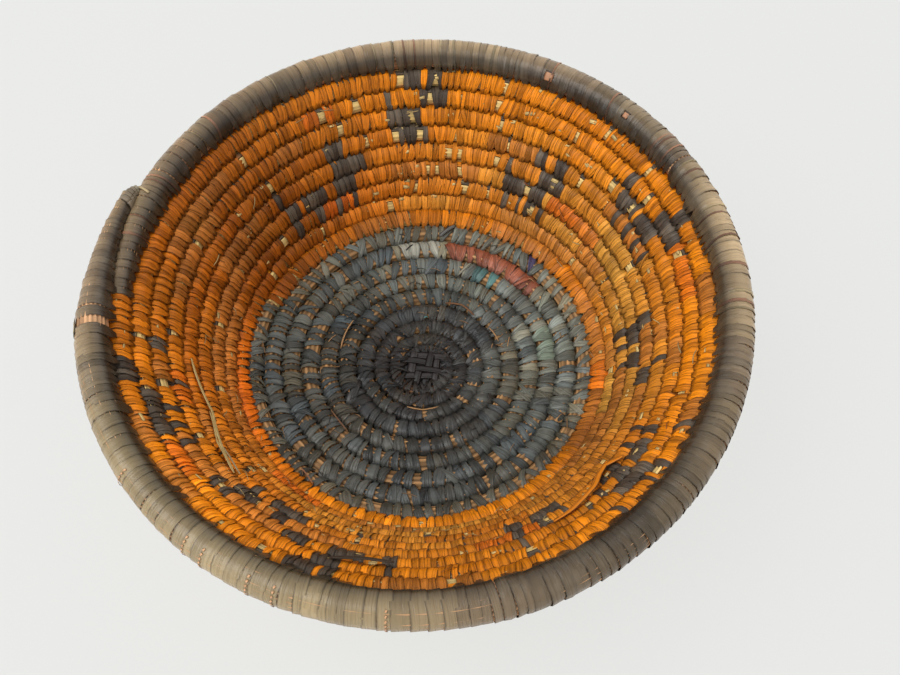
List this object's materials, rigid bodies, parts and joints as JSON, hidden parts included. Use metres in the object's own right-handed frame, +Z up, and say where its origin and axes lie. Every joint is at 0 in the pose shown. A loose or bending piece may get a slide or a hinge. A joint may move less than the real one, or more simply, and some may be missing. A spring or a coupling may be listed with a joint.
{
  "type": "coiled basket bowl",
  "caption": "Open bowl of coiled basketry, a spiral grass coil sewn with dyed leaf strips, with a thick wrapped rim and small dark stepped figures on its wall.",
  "frame": {"origin": "middle of the base, on the surface the bowl stands on", "axes": "+Z up out of the bowl's mouth, +X to the right and +Y away in the picture's view"},
  "size_m": [0.2203, 0.2335, 0.0744],
  "materials": {
    "slate_leaf": "matt dyed leaf",
    "orange_leaf": "satin dyed leaf",
    "taupe_leaf": "satin leaf, polished by hands",
    "dark_leaf": "matt dyed leaf",
    "purple_leaf": "matt dyed leaf",
    "pale_grey_leaf": "matt faded leaf",
    "red_brown_leaf": "matt dyed leaf",
    "teal_leaf": "matt dyed leaf",
    "grey_green_leaf": "matt faded leaf",
    "straw": "satin dry grass"
  },
  "bodies": {
    "root": {"centre_knot": "slate_leaf", "base_coil": "slate_leaf", "wall_coil": "orange_leaf", "rim_coil": "taupe_leaf", "figure_1_wrap_1": "dark_leaf", "figure_1_wrap_2": "dark_leaf", "figure_1_wrap_3": "dark_leaf", "figure_1_wrap_4": "dark_leaf", "figure_2_wrap_1": "dark_leaf", "figure_2_wrap_2": "dark_leaf", "figure_2_wrap_3": "dark_leaf", "figure_2_wrap_4": "dark_leaf", "figure_2_wrap_5": "dark_leaf", "figure_3_wrap_1": "dark_leaf", "figure_3_wrap_2": "dark_leaf", "figure_3_wrap_3": "dark_leaf", "figure_4_wrap_1": "dark_leaf", "figure_4_wrap_2": "dark_leaf", "figure_4_wrap_3": "dark_leaf", "figure_5_wrap_1": "dark_leaf", "figure_5_wrap_2": "dark_leaf", "figure_5_wrap_3": "dark_leaf", "figure_6_wrap_1": "dark_leaf", "figure_6_wrap_2": "dark_leaf", "figure_6_wrap_3": "dark_leaf", "figure_6_wrap_4": "dark_leaf", "figure_6_wrap_5": "dark_leaf", "figure_6_wrap_6": "dark_leaf", "figure_7_wrap_1": "dark_leaf", "figure_7_wrap_2": "dark_leaf", "figure_7_wrap_3": "dark_leaf", "figure_7_wrap_4": "dark_leaf", "figure_7_wrap_5": "dark_leaf", "figure_8_wrap_1": "dark_leaf", "figure_8_wrap_2": "dark_leaf", "figure_8_wrap_3": "dark_leaf", "figure_8_wrap_4": "dark_leaf", "figure_8_wrap_5": "dark_leaf", "figure_9_wrap_1": "dark_leaf", "figure_9_wrap_2": "dark_leaf", "figure_9_wrap_3": "dark_leaf", "figure_9_wrap_4": "dark_leaf", "figure_10_wrap_1": "dark_leaf", "figure_10_wrap_2": "dark_leaf", "figure_10_wrap_3": "dark_leaf", "figure_10_wrap_4": "dark_leaf", "purple_wrap": "purple_leaf", "pale_grey_wrap": "pale_grey_leaf", "red_brown_wrap": "red_brown_leaf", "teal_wrap": "teal_leaf", "grey_green_wrap": "grey_green_leaf", "pale_straw_end": "straw", "dark_loose_strip": "dark_leaf", "orange_loose_strip": "orange_leaf"}
  },
  "joints": []
}
